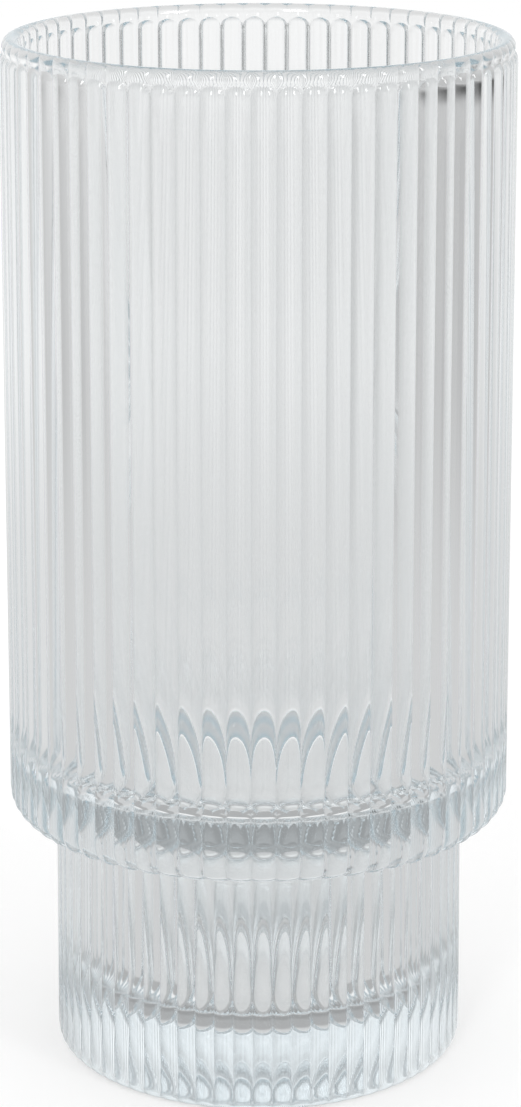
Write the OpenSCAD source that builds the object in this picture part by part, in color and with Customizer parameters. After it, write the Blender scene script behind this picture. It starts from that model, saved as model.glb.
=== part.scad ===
// Stackable drinking glass: a wide reeded body on a narrower reeded foot.
// The glass is one moulding, modelled as five zones that meet face to face.
// The foot of one glass drops into the mouth of the next, down to its shoulder.
// Millimetres, +Z up, origin at the middle of the resting plane.

/* [Overall] */
// Height from the table to the top of the lip
glass_h = 153.4; // [140:0.2:168]
// Radial gap between the foot of one glass and the mouth of the next
stack_gap = 3.1; // [2:0.1:4]

/* [Foot] */
// Diameter over the reeds at the bottom of the foot
foot_low_d = 61.8; // [56:0.2:66]
// How much narrower the foot is under the shoulder, on the radius
foot_taper = 0.3; // [0:0.05:0.6]
// Thickness of the foot's wall, from reed crest to inside
foot_wall_t = 4.4; // [3.8:0.1:5]
// Radius of the rounded edge at the bottom of the foot
foot_edge_r = 2; // [1.6:0.1:2.6]

/* [Base] */
// Height of the inner floor above the table
floor_h = 8.8; // [8:0.1:11]
// Radius of the bowl-like corner where the inner wall meets the floor
floor_fillet_r = 9.2; // [6:0.2:11]
// Width of the ring that the glass stands on
rest_ring_w = 2.3; // [1.6:0.1:4]
// Rise of the shallow dome under the base
under_dome_h = 0.9; // [0.5:0.1:1.6]

/* [Shoulder] */
// Height of the seat ring under the shoulder above the table
shoulder_h = 38; // [36:0.1:42]
// Radius of the rounded outer edge of the shoulder
shoulder_edge_r = 2.9; // [2.6:0.1:3.6]
// Width of the flat seat ring, inwards from the rounded edge
seat_w = 1.6; // [1:0.1:1.8]
// How far the underside falls from the seat ring to the foot
neck_fall = 0.7; // [0.3:0.1:1]
// Radius of the small hollow fillet that joins the foot to the underside
neck_fillet_r = 0.5; // [0.3:0.1:0.7]

/* [Step inside] */
// How far above the seat ring the upper bore starts to curve in
step_rise = 14.6; // [13:0.2:18]
// Radius of the hollow curve under the upper bore
step_hollow_r = 8.6; // [6:0.1:10]
// Radius of the rounded curve down into the lower chamber
step_hip_r = 5.9; // [4:0.1:8]
// Turn of the slope between the two curves, in degrees from upright
step_turn = 41.5; // [30:0.5:50]

/* [Body] */
// Thickness of the body's wall, from reed crest to inside
wall_t = 3; // [2.6:0.1:3.6]
// How much wider the body is at the shoulder than under the lip, on the radius
body_flare = 0.5; // [0:0.05:1]
// How far the smooth lip lies inside the reed crests
lip_setback = 0.4; // [0.2:0.05:0.6]

/* [Reeds] */
// Number of reeds around the glass
reed_n = 66; // [60:2:72]
// Depth of the grooves between the reeds
reed_depth = 0.9; // [0.6:0.05:1.1]
// Height over which a reed closes in an arch under the lip
reed_end_h = 2.2; // [1.6:0.1:3]
// Height over which the grooves run out at the bottom of the foot
groove_end_h = 1.6; // [1:0.1:1.8]

/* [Hidden] */
$fn = 96;

// Overrun of every cut past the solid that it cuts
cut = 1;
// Facets across one reed, and the turn of the first groove as a share of a reed
reed_facets = 4;
reed_turn_share = 0.2;
// Heights in an arched reed end, as shares of its height
arch_shares = [0, 0.3, 0.5, 0.62, 1];
// Stations round a rounded edge, as shares of its quarter turn
edge_shares = [0, 0.25, 0.5, 0.75, 1];
// Pieces of each curve in a half section
arc_n = 8;
glass_tint = [0.80, 0.86, 0.87, 0.6];

// Radii, from the foot outwards
foot_low_r = foot_low_d / 2;
foot_top_r = foot_low_r - foot_taper;
chamber_r = foot_top_r - foot_wall_t;
mouth_r = foot_low_r + stack_gap;
body_top_r = mouth_r + wall_t;
body_low_r = body_top_r + body_flare;
lip_out_r = body_top_r - lip_setback;
lip_t = lip_out_r - mouth_r;
rest_out_r = foot_low_r - foot_edge_r;
rest_in_r = rest_out_r - rest_ring_w;
seat_in_r = body_low_r - shoulder_edge_r - seat_w;

// Heights, from the table up
floor_top_h = floor_h + floor_fillet_r;
neck_h = shoulder_h - neck_fall - neck_fillet_r;
lip_h = glass_h - lip_t / 2;
reed_end_z = lip_h - reed_end_h;

// The step inside: what its slope covers between the two curves, and where the lower curve ends
step_top_h = shoulder_h + step_rise;
step_arcs_r = step_hollow_r + step_hip_r;
slope_w = mouth_r - chamber_r - step_arcs_r * (1 - cos(step_turn));
hip_h = step_top_h - step_arcs_r * sin(step_turn) - slope_w / tan(step_turn);

// Tilt of the underside between the foot's fillet and the seat ring
neck_tilt = atan2(neck_fall, seat_in_r - foot_top_r - neck_fillet_r);

reed_a = 360 / reed_n;
ring_n = reed_n * reed_facets;

// Radius of the arc that spans a chord with a given rise
function arc_r(chord, rise) = (chord * chord / 4 + rise * rise) / (2 * rise);

// How far an arc has fallen at a distance x from its crest
function arc_fall(r, x) = r - sqrt(r * r - x * x);

// Share of the groove's depth that is reached across a reed: 0 on the crest, 1 in the groove
reed_pitch = 2 * PI * body_top_r / reed_n;
reed_arc_r = arc_r(reed_pitch, reed_depth);
function fall_share(i) =
    let (across = (i % reed_facets) / reed_facets)
    arc_fall(reed_arc_r, reed_pitch * (0.5 - across)) / reed_depth;

// A station is [height, crest radius, groove depth, radius of the plain skin under the reeds].
// Where a reed has sunk below the plain skin, the skin shows.
function skin_r(s, i) = max(s[3], s[1] - s[2] * fall_share(i));
function ring_points(s) = [
    for (i = [0 : ring_n - 1])
        let (a = reed_a * (i / reed_facets + reed_turn_share), r = skin_r(s, i))
        [r * cos(a), r * sin(a), s[0]]
];
function reeded(h, r) = [h, r, reed_depth, r - reed_depth];

// Reeded skin through a column of stations, filled. It runs past both ends by the overrun.
module reeded_column(column) {
    last = len(column) - 1;
    below = [for (k = [0 : 3]) column[0][k] - (k == 0 ? cut : 0)];
    above = [for (k = [0 : 3]) column[last][k] + (k == 0 ? cut : 0)];
    stations = concat([below], column, [above]);
    top = len(stations) - 1;
    points = [for (s = stations) each ring_points(s)];
    sides = [
        for (j = [0 : top - 1], i = [0 : ring_n - 1])
            let (k = (i + 1) % ring_n, low = j * ring_n, high = low + ring_n)
            [low + i, high + i, high + k, low + k]
    ];
    floor_face = [for (i = [0 : ring_n - 1]) i];
    roof_face = [for (i = [ring_n - 1 : -1 : 0]) top * ring_n + i];
    polyhedron(points, concat([floor_face, roof_face], sides), convexity = 6);
}

// One zone of the glass: the reeded column between two heights, less the space inside
module zone(low_h, high_h, column) {
    intersection() {
        reeded_column(column);
        difference() {
            translate([0, 0, low_h])
                cylinder(h = high_h - low_h, r = body_low_r + cut);
            inside_space();
        }
    }
}

// Crest radius of the body and of the foot at a height
function body_r(h) =
    body_top_r + body_flare * (reed_end_z - h) / (reed_end_z - shoulder_h);
function foot_r(h) = foot_low_r - foot_taper * h / shoulder_h;

// Points on an arc in the half section, from one angle to another
function arc_points(centre, r, from, to) = [
    for (i = [0 : arc_n])
        let (a = from + (to - from) * i / arc_n)
        [centre[0] + r * cos(a), centre[1] + r * sin(a)]
];

// Half section of the space inside: mouth, step, narrow chamber and bowl-cornered floor
module inside_section() {
    hollow = [mouth_r - step_hollow_r, step_top_h];
    hip = [chamber_r + step_hip_r, hip_h];
    corner = [chamber_r - floor_fillet_r, floor_top_h];
    polygon(concat(
        [[0, glass_h + cut], [mouth_r, glass_h + cut]],
        arc_points(hollow, step_hollow_r, 0, -step_turn),
        arc_points(hip, step_hip_r, 180 - step_turn, 180),
        arc_points(corner, floor_fillet_r, 0, -90),
        [[0, floor_h]]
    ));
}

module inside_space() {
    rotate_extrude()
        inside_section();
}

// Full round lip, from the mouth's wall to its outer skin
module lip() {
    color(glass_tint)
        rotate_extrude()
            intersection() {
                translate([mouth_r + lip_t / 2, lip_h])
                    circle(r = lip_t / 2);
                translate([mouth_r, lip_h])
                    square([lip_t, lip_t]);
            }
}

// Long upper wall: reeds outside that close in arches under the lip, a plain bore inside
module body_wall() {
    valley_r = body_top_r - reed_depth;
    arches = [
        for (s = arch_shares)
            let (fall = arc_fall(reed_end_h, reed_end_h * s))
            [
                reed_end_z + reed_end_h * s,
                body_top_r - fall,
                reed_depth,
                valley_r + (lip_out_r - valley_r) * s
            ]
    ];
    color(glass_tint)
        zone(step_top_h, lip_h, concat([reeded(step_top_h, body_r(step_top_h))], arches));
}

// Plain collar under the shoulder: the foot's fillet, and the underside that rises to the seat
module neck() {
    fillet = [foot_top_r + neck_fillet_r, neck_h];
    difference() {
        rotate_extrude()
            polygon(concat(
                [[0, shoulder_h], [0, neck_h]],
                arc_points(fillet, neck_fillet_r, 180, 90 + neck_tilt),
                [[seat_in_r, shoulder_h]]
            ));
        inside_space();
    }
}

// Step between body and foot: reeds turn in round its edge to the seat ring underneath
module shoulder() {
    turn = [
        for (s = edge_shares)
            let (a = 90 * (1 - s))
            reeded(
                shoulder_h + shoulder_edge_r * (1 - sin(a)),
                body_low_r - shoulder_edge_r * (1 - cos(a))
            )
    ];
    color(glass_tint)
        union() {
            zone(shoulder_h, step_top_h, concat(turn, [reeded(step_top_h, body_r(step_top_h))]));
            neck();
        }
}

// Narrow lower wall round the lower chamber
module foot_wall() {
    color(glass_tint)
        zone(floor_top_h, neck_h, [
            reeded(floor_top_h, foot_r(floor_top_h)),
            reeded(neck_h, foot_r(neck_h))
        ]);
}

// Thick base: floor above, grooves that run out over the bottom edge, shallow dome underneath
module base() {
    turn = [
        for (s = edge_shares)
            let (
                a = 90 * (1 - s),
                h = foot_edge_r * (1 - sin(a)),
                r = foot_r(0) - foot_edge_r * (1 - cos(a)),
                depth = reed_depth * min(1, h / groove_end_h)
            )
            [h, r, depth, r - depth]
    ];
    dome_r = arc_r(2 * rest_in_r, under_dome_h);
    dome_a = asin(rest_in_r / dome_r);
    color(glass_tint)
        difference() {
            zone(0, floor_top_h, concat(turn, [reeded(floor_top_h, foot_r(floor_top_h))]));
            rotate_extrude()
                polygon(concat(
                    [[0, -cut], [rest_in_r, -cut]],
                    arc_points([0, under_dome_h - dome_r], dome_r, 90 - dome_a, 90)
                ));
        }
}

lip();
body_wall();
shoulder();
foot_wall();
base();
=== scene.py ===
import math

import bmesh
import bpy
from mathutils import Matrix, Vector


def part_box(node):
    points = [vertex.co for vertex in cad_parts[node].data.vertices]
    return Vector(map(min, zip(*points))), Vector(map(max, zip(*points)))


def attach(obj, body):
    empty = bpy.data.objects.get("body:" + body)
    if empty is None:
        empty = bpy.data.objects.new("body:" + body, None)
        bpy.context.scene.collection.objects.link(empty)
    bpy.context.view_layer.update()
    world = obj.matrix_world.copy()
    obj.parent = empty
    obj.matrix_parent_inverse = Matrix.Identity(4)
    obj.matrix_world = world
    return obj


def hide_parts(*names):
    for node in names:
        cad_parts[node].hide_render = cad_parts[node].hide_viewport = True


# Stackable drinking glass: one clear moulding, a wide reeded body on a narrower reeded foot.
# Sizes are in metres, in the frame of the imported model: +Z up, origin in the resting plane.
mm = 0.001

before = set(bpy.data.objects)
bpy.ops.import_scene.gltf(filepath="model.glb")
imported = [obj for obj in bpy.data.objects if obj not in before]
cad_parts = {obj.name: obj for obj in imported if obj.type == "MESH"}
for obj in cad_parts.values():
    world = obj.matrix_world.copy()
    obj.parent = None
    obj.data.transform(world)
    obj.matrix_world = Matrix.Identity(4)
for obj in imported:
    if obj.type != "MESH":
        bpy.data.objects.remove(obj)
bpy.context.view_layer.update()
print("frame loaded:", ", ".join(sorted(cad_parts)))


class Wire:
    # a node's output, which adds Math nodes when it is used in sums

    def __init__(self, tree, socket):
        self.tree = tree
        self.socket = socket

    def maths(self, operation, *values):
        inputs = dict(enumerate((self,) + values))
        return self.tree.put("ShaderNodeMath", {"operation": operation}, inputs)

    def __add__(self, other):
        return self.maths("ADD", other)

    def __radd__(self, other):
        return self.maths("ADD", other)

    def __sub__(self, other):
        return self.maths("SUBTRACT", other)

    def __rsub__(self, other):
        return self.tree.put("ShaderNodeMath", {"operation": "SUBTRACT"}, {0: other, 1: self})

    def __mul__(self, other):
        return self.maths("MULTIPLY", other)

    def __rmul__(self, other):
        return self.maths("MULTIPLY", other)

    def __truediv__(self, other):
        return self.maths("DIVIDE", other)

    def __rtruediv__(self, other):
        return self.tree.put("ShaderNodeMath", {"operation": "DIVIDE"}, {0: other, 1: self})

    def floored(self):
        return self.maths("FLOOR")

    def smoothStep(self, low, high):
        settings = {"interpolation_type": "SMOOTHSTEP"}
        return self.tree.put("ShaderNodeMapRange", settings, {0: self, 1: low, 2: high})


class Tree:
    # a node tree, and one method that puts any node in it

    def __init__(self, nodeTree):
        self.nodeTree = nodeTree

    def put(self, kind, settings=None, inputs=None, out=0):
        node = self.nodeTree.nodes.new(kind)
        for name, value in (settings or {}).items():
            setattr(node, name, value)
        for key, value in (inputs or {}).items():
            if isinstance(value, Wire):
                self.nodeTree.links.new(value.socket, node.inputs[key])
            else:
                node.inputs[key].default_value = value
        return Wire(self, node.outputs[out]) if len(node.outputs) else node

    def mixColours(self, factor, first, second):
        settings = {"data_type": "RGBA"}
        return self.put("ShaderNodeMix", settings, {0: factor, 6: first, 7: second}, out=2)


def newMaterial(name):
    material = bpy.data.materials.new(name)
    material.use_nodes = True
    material.node_tree.nodes.clear()
    return material, Tree(material.node_tree)


# The glass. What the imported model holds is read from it, the rest repeats its sizes.
glass = {
    "reeds": 66,
    "columnsPerReed": 14,
    "grooveDepth": 0.9 * mm,
    "grooveTurn": 0.2,          # turn of the first groove, as a share of a reed
    "wall": 3.0 * mm,           # body, reed crest to inside
    "footWall": 4.4 * mm,
    "footTaper": 0.3 * mm,
    "bodyFlare": 0.5 * mm,
    "shoulderEdge": 2.9 * mm,
    "seatRing": 1.6 * mm,       # flat ring under the shoulder
    "neckFall": 0.7 * mm,       # the underside falls this much from the ring to the foot
    "stepHollow": 8.6 * mm,     # hollow curve under the upper bore
    "stepHip": 5.9 * mm,        # rounding from the step down into the lower chamber
    "stepTurn": 41.5,           # degrees from upright of the slope between the two curves
    "reedEnd": 2.2 * mm,        # height of the arched reed end under the lip
    "lipWave": 0.40 * mm,       # depth of the softened grooves on the outside of the lip
    "lipWaveEnd": 85.0,         # they have run out this far up the lip's rounding, in degrees
    "footEdge": 2.0 * mm,
    "grooveEnd": 1.6 * mm,      # height over which the grooves run out at the foot
    "restRing": 2.3 * mm,
    "underDome": 0.9 * mm,      # height of the shallow dome under the base
    "floorFillet": 9.2 * mm,
    "neckFillet": 0.5 * mm,     # small hollow fillet where the foot meets the shoulder
    "hold": 0.5 * mm,           # keeps straight walls straight beside a curve
    "sharpFrom": 28.0,          # degrees between faces that meet in a crisp edge
    "inset": 0.01 * mm,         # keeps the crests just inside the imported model
    "joined": 0.002 * mm,       # points closer than this are one: the seam and both middles
    # pieces of each curve in the half section
    "domeSteps": 5,
    "footEdgeSteps": 10,
    "neckSteps": 4,
    "shoulderSteps": 14,
    "archSteps": 14,
    "lipSteps": 14,
    "stepSteps": 8,
    "floorSteps": 12,
}


def arcPoints(centreR, centreZ, radius, start, end, steps, skipFirst=True):
    # points on an arc in the half section, angles in degrees from +R towards +Z
    first = 1 if skipFirst else 0
    turns = [math.radians(start + (end - start) * i / steps) for i in range(first, steps + 1)]
    return [(centreR + radius * math.cos(t), centreZ + radius * math.sin(t)) for t in turns]


def straight(start, end, hold):
    # a straight stretch after start, up to end, with a point close to either end
    length = math.dist(start, end)
    shares = [hold / length, 1 - hold / length, 1]
    return [tuple(a + (b - a) * share for a, b in zip(start, end)) for share in shares]


def glassStations():
    # stations round the half section: radius over the reeds, height, depth of the grooves,
    # radius of the plain skin under them, depth of the waves in that skin
    g = glass
    lipLow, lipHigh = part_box("lip")
    lipOut = lipHigh.x - g["inset"]
    lipZ = lipLow.z
    lipR = lipHigh.z - lipZ                # the lip is full round
    mouth = lipOut - 2 * lipR
    bodyTop = mouth + g["wall"]
    bodyLowR = bodyTop + g["bodyFlare"]
    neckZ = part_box("shoulder")[0].z
    underZ = neckZ + g["neckFillet"] + g["neckFall"]
    hold = g["hold"]
    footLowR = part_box("base")[1].x - g["inset"]
    footTopR = footLowR - g["footTaper"]
    chamber = footTopR - g["footWall"]
    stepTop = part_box("body_wall")[0].z
    hollow, hip = g["stepHollow"], g["stepHip"]
    turn = math.radians(g["stepTurn"])
    slant = mouth - chamber - (hollow + hip) * (1 - math.cos(turn))
    hipZ = stepTop - (hollow + hip) * math.sin(turn) - slant / math.tan(turn)
    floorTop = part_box("foot_wall")[0].z
    floorZ = floorTop - g["floorFillet"]
    archZ = lipZ - g["reedEnd"]
    depth = g["grooveDepth"]

    def plain(points):
        return [(r, z, 0.0, r, 0.0) for r, z in points]

    def reeded(points):
        return [(r, z, depth, r - depth, 0.0) for r, z in points]

    # underside: shallow dome, rest ring
    restOut = footLowR - g["footEdge"]
    restIn = restOut - g["restRing"]
    dome = g["underDome"]
    domeR = (restIn * restIn + dome * dome) / (2 * dome)
    domeHalf = math.degrees(math.asin(restIn / domeR))
    under = arcPoints(0.0, dome - domeR, domeR, 90, 90 - domeHalf, g["domeSteps"], False)
    stations = plain(under + [(restOut, 0.0)])
    # bottom edge, where the grooves run out
    footEdge = g["footEdge"]
    for r, z in arcPoints(restOut, footEdge, footEdge, -90, 0, g["footEdgeSteps"]):
        here = depth * min(1.0, z / g["grooveEnd"])
        stations.append((r, z, here, r - here, 0.0))
    # foot, and the collar that its reeds end under
    stations += reeded(straight((footLowR, footEdge), (footTopR, neckZ), hold))
    fillet = g["neckFillet"]
    edge = g["shoulderEdge"]
    edgeIn = bodyLowR - edge
    ringIn = edgeIn - g["seatRing"]
    tilt = math.degrees(math.atan2(g["neckFall"], ringIn - footTopR - fillet))
    stations += plain([(footTopR, neckZ)])
    neck = arcPoints(footTopR + fillet, neckZ, fillet, 180, 90 + tilt, g["neckSteps"])
    stations += plain(neck)
    stations += plain([(ringIn, underZ), (edgeIn - depth, underZ)])
    # underside of the shoulder and its rounded edge
    stations += reeded(arcPoints(edgeIn, underZ + edge, edge, -90, 0, g["shoulderSteps"], False))
    # body, then the arched ends of the reeds
    stations += reeded(straight((bodyLowR, underZ + edge), (bodyTop, archZ), hold))
    valley = bodyTop - depth
    for i in range(1, g["archSteps"] + 1):
        s = i / g["archSteps"]
        fall = g["reedEnd"] * (1 - math.sqrt(1 - s * s))
        skin = valley + (lipOut - valley) * s
        stations.append((bodyTop - fall, archZ + g["reedEnd"] * s, depth, skin, g["lipWave"] * s))
    # lip, over to the inside; the waves run out towards its top
    for i, (r, z) in enumerate(arcPoints(lipOut - lipR, lipZ, lipR, 0, 180, g["lipSteps"])):
        up = min(1.0, (i + 1) * 180 / g["lipSteps"] / g["lipWaveEnd"])
        stations.append((0.0, z, 0.0, r, g["lipWave"] * (1 - up * up) ** 2))
    # inside: wall, step, narrow chamber, floor
    stations += plain(straight((mouth, lipZ), (mouth, stepTop), hold))
    steps = g["stepSteps"]
    stations += plain(arcPoints(mouth - hollow, stepTop, hollow, 0, -g["stepTurn"], steps))
    stations += plain(arcPoints(chamber + hip, hipZ, hip, 180 - g["stepTurn"], 180, steps, False))
    stations += plain(straight((chamber, hipZ), (chamber, floorTop), hold))
    corner = g["floorFillet"]
    stations += plain(arcPoints(chamber - corner, floorTop, corner, 0, -90, g["floorSteps"]))
    stations += plain([(chamber - corner - hold, floorZ), (0.0, floorZ)])
    reedPitch = 2 * math.pi * bodyTop / g["reeds"]
    return stations, reedPitch


def profileObject(stations):
    # the stations as a line of points that the node tree reads
    mesh = bpy.data.meshes.new("glassProfile")
    points = [(s[0], 0.0, s[1]) for s in stations]
    mesh.from_pydata(points, [(i, i + 1) for i in range(len(points) - 1)], [])
    for name, column in (("groove", 2), ("skin", 3), ("wave", 4)):
        attribute = mesh.attributes.new(name, "FLOAT", "POINT")
        attribute.data.foreach_set("value", [s[column] for s in stations])
    profile = bpy.data.objects.new("glass", mesh)
    bpy.context.scene.collection.objects.link(profile)
    return profile


def reedTree():
    # revolves the stations and presses the reeds into them
    group = bpy.data.node_groups.new("reededRevolve", "GeometryNodeTree")
    sockets = (
        ("Profile", "NodeSocketGeometry"), ("Stations", "NodeSocketInt"), ("Reeds", "NodeSocketInt"),
        ("Columns", "NodeSocketInt"), ("Pitch", "NodeSocketFloat"), ("Depth", "NodeSocketFloat"),
        ("Turn", "NodeSocketFloat"), ("Joined", "NodeSocketFloat"),
        ("Material", "NodeSocketMaterial"),
    )
    for name, kind in sockets:
        group.interface.new_socket(name=name, in_out="INPUT", socket_type=kind)
    group.interface.new_socket(name="Glass", in_out="OUTPUT", socket_type="NodeSocketGeometry")
    tree = Tree(group)
    inlet = group.nodes.new("NodeGroupInput")
    value = {name: Wire(tree, inlet.outputs[name]) for name, kind in sockets}

    # a sheet of columns by stations, from -0.5 to 0.5 both ways
    gridInputs = {
        "Size X": 1.0, "Size Y": 1.0,
        "Vertices X": value["Columns"] + 1, "Vertices Y": value["Stations"],
    }
    sheet = tree.put("GeometryNodeMeshGrid", {}, gridInputs)
    place = tree.put("GeometryNodeInputPosition")
    x = tree.put("ShaderNodeSeparateXYZ", {}, {0: place}, out="X")
    y = tree.put("ShaderNodeSeparateXYZ", {}, {0: place}, out="Y")
    station = ((y + 0.5) * (value["Stations"] - 1) + 0.5).floored()
    around = x + 0.5

    def fromProfile(dataType, field):
        settings = {"data_type": dataType, "domain": "POINT"}
        inputs = {"Geometry": value["Profile"], "Value": field, "Index": station}
        return tree.put("GeometryNodeSampleIndex", settings, inputs)

    def named(name):
        return tree.put("GeometryNodeInputNamedAttribute", {"data_type": "FLOAT"}, {"Name": name})

    point = fromProfile("FLOAT_VECTOR", tree.put("GeometryNodeInputPosition"))
    crest = tree.put("ShaderNodeSeparateXYZ", {}, {0: point}, out="X")
    height = tree.put("ShaderNodeSeparateXYZ", {}, {0: point}, out="Z")
    groove = fromProfile("FLOAT", named("groove"))
    skin = fromProfile("FLOAT", named("skin"))
    wave = fromProfile("FLOAT", named("wave"))

    # the columns of a reed crowd towards the grooves on either side of it
    reedCount = around * value["Reeds"]
    evenly = reedCount.maths("FRACT") - 0.5
    across = (evenly * math.pi).maths("SINE") * 0.5
    # each reed is an arc across its pitch: its fall from the crest, as a share of the full depth
    pitch, depth = value["Pitch"], value["Depth"]
    arcRadius = (pitch * pitch / 4.0 + depth * depth) / (depth * 2.0)
    offset = across * pitch
    fall = arcRadius - (arcRadius * arcRadius - offset * offset).maths("SQRT")
    share = fall / depth
    radius = (crest - groove * share).maths("MAXIMUM", skin - wave * share)

    angle = (reedCount.floored() + 0.5 + across + value["Turn"]) * (2 * math.pi) / value["Reeds"]
    put = {0: radius * angle.maths("COSINE"), 1: radius * angle.maths("SINE"), 2: height}
    moved = tree.put("ShaderNodeCombineXYZ", {}, put)
    shaped = tree.put("GeometryNodeSetPosition", {}, {"Geometry": sheet, "Position": moved})
    mergeInputs = {"Geometry": shaped, "Distance": value["Joined"]}
    closed = tree.put("GeometryNodeMergeByDistance", {}, mergeInputs)
    smooth = tree.put("GeometryNodeSetShadeSmooth", {}, {"Geometry": closed})
    real = tree.put("GeometryNodeRealizeInstances", {}, {"Geometry": smooth})
    made = tree.put("GeometryNodeSetMaterial", {}, {"Geometry": real, "Material": value["Material"]})
    outlet = group.nodes.new("NodeGroupOutput")
    group.links.new(made.socket, outlet.inputs[0])
    return group


def makeGlass(material):
    stations, reedPitch = glassStations()
    profile = profileObject(stations)
    group = reedTree()
    modifier = profile.modifiers.new("reeds", "NODES")
    modifier.node_group = group
    chosen = {
        "Stations": len(stations), "Reeds": glass["reeds"],
        "Columns": glass["reeds"] * glass["columnsPerReed"], "Pitch": reedPitch,
        "Depth": glass["grooveDepth"], "Turn": glass["grooveTurn"], "Joined": glass["joined"],
        "Material": material,
    }
    for item in group.interface.items_tree:
        if item.in_out == "INPUT" and item.name in chosen:
            modifier[item.identifier] = chosen[item.name]
    bpy.context.view_layer.update()
    depsgraph = bpy.context.evaluated_depsgraph_get()
    mesh = bpy.data.meshes.new_from_object(profile.evaluated_get(depsgraph), depsgraph=depsgraph)
    profile.modifiers.remove(modifier)
    old, profile.data = profile.data, mesh
    bpy.data.meshes.remove(old)
    mesh.name = "glass"
    work = bmesh.new()
    work.from_mesh(mesh)
    bmesh.ops.remove_doubles(work, verts=work.verts, dist=glass["joined"] / 2)
    bmesh.ops.recalc_face_normals(work, faces=work.faces)
    if work.calc_volume(signed=True) < 0:
        bmesh.ops.reverse_faces(work, faces=work.faces)
    openEdges = sum(1 for edge in work.edges if not edge.is_manifold)
    volume = work.calc_volume()
    work.to_mesh(mesh)
    work.free()
    mesh.set_sharp_from_angle(angle=math.radians(glass["sharpFrom"]))
    for attribute in [a for a in mesh.attributes if a.name in ("groove", "skin", "wave")]:
        mesh.attributes.remove(attribute)
    print(f"glass: {len(stations)} stations, {len(mesh.polygons)} faces, {openEdges} open edges, "
          f"{volume * 1e6:.1f} cm3")
    return profile


clearGlass = {
    "ior": 1.51,
    "tintThin": (0.998, 0.999, 0.999, 1),
    "tintThick": (0.985, 0.993, 0.994, 1),
    # a metre of glass dims the light by the density times what the colour lacks of 1
    "absorbColour": (0.48, 0.76, 0.885, 1),
    "absorbDensity": 3.9,
    "waveScale": 55.0,
    "waveHeight": 0.02 * mm,
    "waveDetail": 3.0,
    "waveRough": 0.5,
    "smearFrom": (0.5, 0.8),    # the surface is less clear where the waves are this high
    "smear": 0.02,              # roughness there
}


def makeClearGlass():
    c = clearGlass
    material, tree = newMaterial("clearPressedGlass")
    place = tree.put("ShaderNodeTexCoord", out="Object")
    cloudInputs = {
        "Vector": place, "Scale": c["waveScale"],
        "Detail": c["waveDetail"], "Roughness": c["waveRough"],
    }
    cloud = tree.put("ShaderNodeTexNoise", {}, cloudInputs)
    tint = tree.mixColours(cloud, c["tintThin"], c["tintThick"])
    smear = cloud.smoothStep(*c["smearFrom"])
    bumpInputs = {"Height": cloud, "Distance": c["waveHeight"], "Strength": 1.0}
    wave = tree.put("ShaderNodeBump", {}, bumpInputs)
    shaderInputs = {
        "Base Color": tint, "Roughness": smear * c["smear"], "IOR": c["ior"],
        "Transmission Weight": 1.0, "Normal": wave,
    }
    surface = tree.put("ShaderNodeBsdfPrincipled", {}, shaderInputs)
    volumeInputs = {"Color": c["absorbColour"], "Density": c["absorbDensity"]}
    volume = tree.put("ShaderNodeVolumeAbsorption", {}, volumeInputs)
    tree.put("ShaderNodeOutputMaterial", {}, {"Surface": surface, "Volume": volume})
    return material


pressed = makeClearGlass()
glassPiece = makeGlass(pressed)
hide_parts("lip", "body_wall", "shoulder", "foot_wall", "base")
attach(glassPiece, "root")


studio = {
    "floorWide": 2.4,
    "floorDeep": 2.4,
    "whiteShare": 0.5,          # share of plain white in the floor that the camera sees
    "soft": 1.0,                # even light from all round, which the floor receives
    "turned": 13.0,             # degrees by which the room is turned to the left
    "leastLevel": 0.0001,       # keeps a direction straight up or down from dividing by nothing
    # painted light and shade on the sheet that the glass stands on, as the glass sees it, by
    # direction from the glass
    "behind": 0.94,
    "beside": 0.54,
    "shaded": 0.16,             # between beside and in front
    "inFront": 0.80,
    "behindTurn": (0.20, 0.96), # cosines of the turn from straight behind
    "shadedTurn": (0.10, 0.50),
    "inFrontTurn": (0.86, 0.96),
    "nearFloor": (0.22, 0.50),  # the light round the foot fades to the sheet here
    # the room beyond the sheet, below the horizon
    "farBehind": 0.94,
    "farBeside": 0.03,
    "farInFront": 1.0,
    "farBehindTurn": (-0.10, 0.85),
    "farInFrontTurn": (0.30, 0.60),
    "sheetEdge": (0.92, 0.99),  # the sheet fades to that room here
    "horizon": (-0.01, 0.01),   # and that room to the walls here
    # painted shadow and light in rings round the foot: outer edge, brightness behind and in front
    "footRings": (
        (0.0180, 0.66, 0.66),
        (0.0266, 0.86, 0.42),
        (0.0305, 0.46, 0.34),
        (0.0360, 0.58, 0.98),
        (0.0500, 0.79, 0.44),
        (None, 0.76, 0.64),     # outwards, until the sheet takes over
    ),
    "ringSoft": 0.0012,         # half the width in which one ring fades to the next
    # the room over the horizon
    "backWall": 1.05,
    "sideWall": 0.18,
    "wallTurn": (0.25, 0.98),
    "ceiling": 0.54,
    "wallTop": (0.40, 0.66),    # the walls fade to the ceiling between these heights
    "frontBox": 3.5,            # two slim soft lights over the camera, to its left and right
    "frontBoxShine": 9.0,       # the same lights where they shine on the outside of the glass
    "frontBoxHigh": (0.20, 0.26, 0.60, 0.66),
    "frontBoxWide": (0.78, 0.80, 0.89, 0.91),
}


def turnFrom(tree, way, level):
    # cosine of the turn from straight behind, for a direction and its level length
    x = tree.put("ShaderNodeSeparateXYZ", {}, {0: way}, out="X")
    y = tree.put("ShaderNodeSeparateXYZ", {}, {0: way}, out="Y")
    aside = math.radians(studio["turned"])
    return (y * math.cos(aside) - x * math.sin(aside)) / level.maths("MAXIMUM", studio["leastLevel"])


def sheetLevel(turn):
    # painted light and shade on the sheet, from the cosine of the turn from straight behind
    s = studio
    ahead = 0.0 - turn
    level = s["beside"] + turn.smoothStep(*s["behindTurn"]) * (s["behind"] - s["beside"])
    level = level + ahead.smoothStep(*s["shadedTurn"]) * (s["shaded"] - level)
    return level + ahead.smoothStep(*s["inFrontTurn"]) * (s["inFront"] - level)


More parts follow.
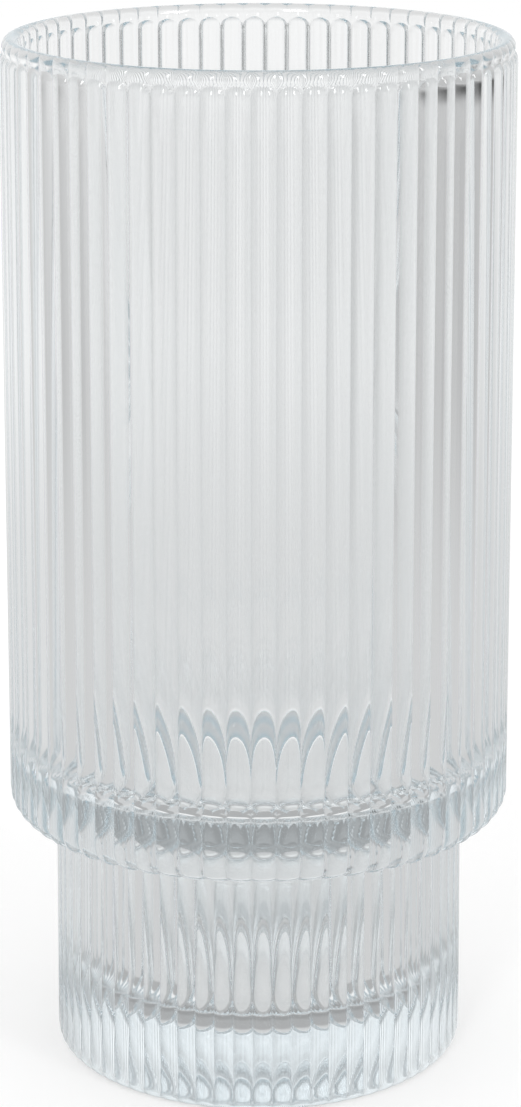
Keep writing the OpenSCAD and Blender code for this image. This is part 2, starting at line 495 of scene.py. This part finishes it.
def farLevel(turn):
    # brightness beyond the sheet: a backdrop behind, a window in front, dark to the sides
    s = studio
    ahead = 0.0 - turn
    level = s["farBeside"] + turn.smoothStep(*s["farBehindTurn"]) * (s["farBehind"] - s["farBeside"])
    return level + ahead.smoothStep(*s["farInFrontTurn"]) * (s["farInFront"] - s["farBeside"])


def footLevel(radius, turn):
    # painted shadow and light on the floor under and round the foot
    s = studio
    behind, ahead = s["footRings"][0][1:]
    for (edge, *inner), (_, *outer) in zip(s["footRings"], s["footRings"][1:]):
        out = radius.smoothStep(edge - s["ringSoft"], edge + s["ringSoft"])
        behind = out * (outer[0] - inner[0]) + behind
        ahead = out * (outer[1] - inner[1]) + ahead
    return ahead + turn.smoothStep(*s["behindTurn"]) * (behind - ahead)


def makeWorld():
    s = studio
    world = bpy.data.worlds.new("studio")
    bpy.context.scene.world = world
    world.use_nodes = True
    world.node_tree.nodes.clear()
    tree = Tree(world.node_tree)
    way = tree.put("ShaderNodeTexCoord", out="Generated")
    z = tree.put("ShaderNodeSeparateXYZ", {}, {0: way}, out="Z")
    turn = turnFrom(tree, way, (1.0 - z * z).maths("SQRT"))
    wall = s["sideWall"] + turn.smoothStep(*s["wallTurn"]) * (s["backWall"] - s["sideWall"])
    room = wall + z.smoothStep(*s["wallTop"]) * (s["ceiling"] - wall)
    high = z.smoothStep(*s["frontBoxHigh"][:2]) - z.smoothStep(*s["frontBoxHigh"][2:])
    ahead = 0.0 - turn
    wide = ahead.smoothStep(*s["frontBoxWide"][:2]) - ahead.smoothStep(*s["frontBoxWide"][2:])
    box = high * wide
    inside = tree.put("ShaderNodeLightPath", out="Transmission Depth").maths("MINIMUM", 1.0)
    lamp = s["frontBoxShine"] + inside * (s["frontBox"] - s["frontBoxShine"])
    room = room + box * (lamp - room)
    low = farLevel(turn)
    shown = low + z.smoothStep(*s["horizon"]) * (room - low)
    spread = tree.put("ShaderNodeLightPath", out="Diffuse Depth").maths("MINIMUM", 1.0)
    camera = tree.put("ShaderNodeLightPath", out="Is Camera Ray")
    lit = shown + spread * (s["soft"] - shown)
    strength = lit + camera * (1.0 - lit)
    back = tree.put("ShaderNodeBackground", {}, {"Color": (1, 1, 1, 1), "Strength": strength})
    tree.put("ShaderNodeOutputWorld", {}, {"Surface": back})


def makeFloor():
    s = studio
    wide, deep = s["floorWide"] / 2, s["floorDeep"] / 2
    mesh = bpy.data.meshes.new("floor")
    corners = [(-wide, -deep, 0), (wide, -deep, 0), (wide, deep, 0), (-wide, deep, 0)]
    mesh.from_pydata(corners, [], [(0, 1, 2, 3)])
    floor = bpy.data.objects.new("floor", mesh)
    bpy.context.scene.collection.objects.link(floor)
    material, tree = newMaterial("paleFloor")
    place = tree.put("ShaderNodeTexCoord", out="Object")
    radius = tree.put("ShaderNodeVectorMath", {"operation": "LENGTH"}, {0: place}, out="Value")
    turn = turnFrom(tree, place, radius)
    # painted shadow and light round the foot, fading to the painted sheet levels and beyond them to
    # the far level
    near = footLevel(radius, turn)
    level = near + radius.smoothStep(*s["nearFloor"]) * (sheetLevel(turn) - near)
    level = level + radius.smoothStep(*s["sheetEdge"]) * (farLevel(turn) - level)
    # the glass sees the sheet's painted light and shade, the camera sees white with the glass's
    # shadow
    sheet = tree.put("ShaderNodeEmission", {}, {"Color": (1, 1, 1, 1), "Strength": level})
    bright = tree.put("ShaderNodeBsdfDiffuse", {}, {"Color": (1, 1, 1, 1)})
    white = tree.put("ShaderNodeEmission", {}, {"Color": (1, 1, 1, 1), "Strength": 1.0})
    shown = tree.put("ShaderNodeMixShader", {}, {0: s["whiteShare"], 1: bright, 2: white})
    camera = tree.put("ShaderNodeLightPath", out="Is Camera Ray")
    above = tree.put("ShaderNodeMixShader", {}, {0: camera, 1: sheet, 2: shown})
    clear = tree.put("ShaderNodeBsdfTransparent")
    below = tree.put("ShaderNodeNewGeometry", out="Backfacing")
    both = tree.put("ShaderNodeMixShader", {}, {0: below, 1: above, 2: clear})
    tree.put("ShaderNodeOutputMaterial", {}, {"Surface": both})
    mesh.materials.append(material)


view = {
    "back": 477.7 * mm,         # from the glass's axis, level
    "height": 217.75 * mm,
    "aimAside": 0.29 * mm,
    "aimHeight": 76.4 * mm,
    "lens": 108.93,
    "sensor": 36.0,
    "near": 10 * mm,
    "far": 20000 * mm,
}


def makeCamera():
    v = view
    camera = bpy.data.cameras.new("camera")
    camera.lens = v["lens"]
    camera.sensor_width = v["sensor"]
    camera.clip_start = v["near"]
    camera.clip_end = v["far"]
    holder = bpy.data.objects.new("camera", camera)
    bpy.context.scene.collection.objects.link(holder)
    holder.location = (0.0, -v["back"], v["height"])
    aim = Vector((v["aimAside"], 0.0, v["aimHeight"])) - holder.location
    holder.rotation_euler = aim.to_track_quat("-Z", "Y").to_euler()
    bpy.context.scene.camera = holder


lightPath = {
    "turns": 96,                # light that the wall guides takes many turns
    "clear": 16,                # the floor is clear from below
}

makeWorld()
makeFloor()
makeCamera()
scene = bpy.context.scene
scene.view_settings.view_transform = "Standard"
scene.cycles.max_bounces = lightPath["turns"]
scene.cycles.transmission_bounces = lightPath["turns"]
scene.cycles.glossy_bounces = lightPath["turns"]
scene.cycles.transparent_max_bounces = lightPath["clear"]
print("studio, floor and camera made")
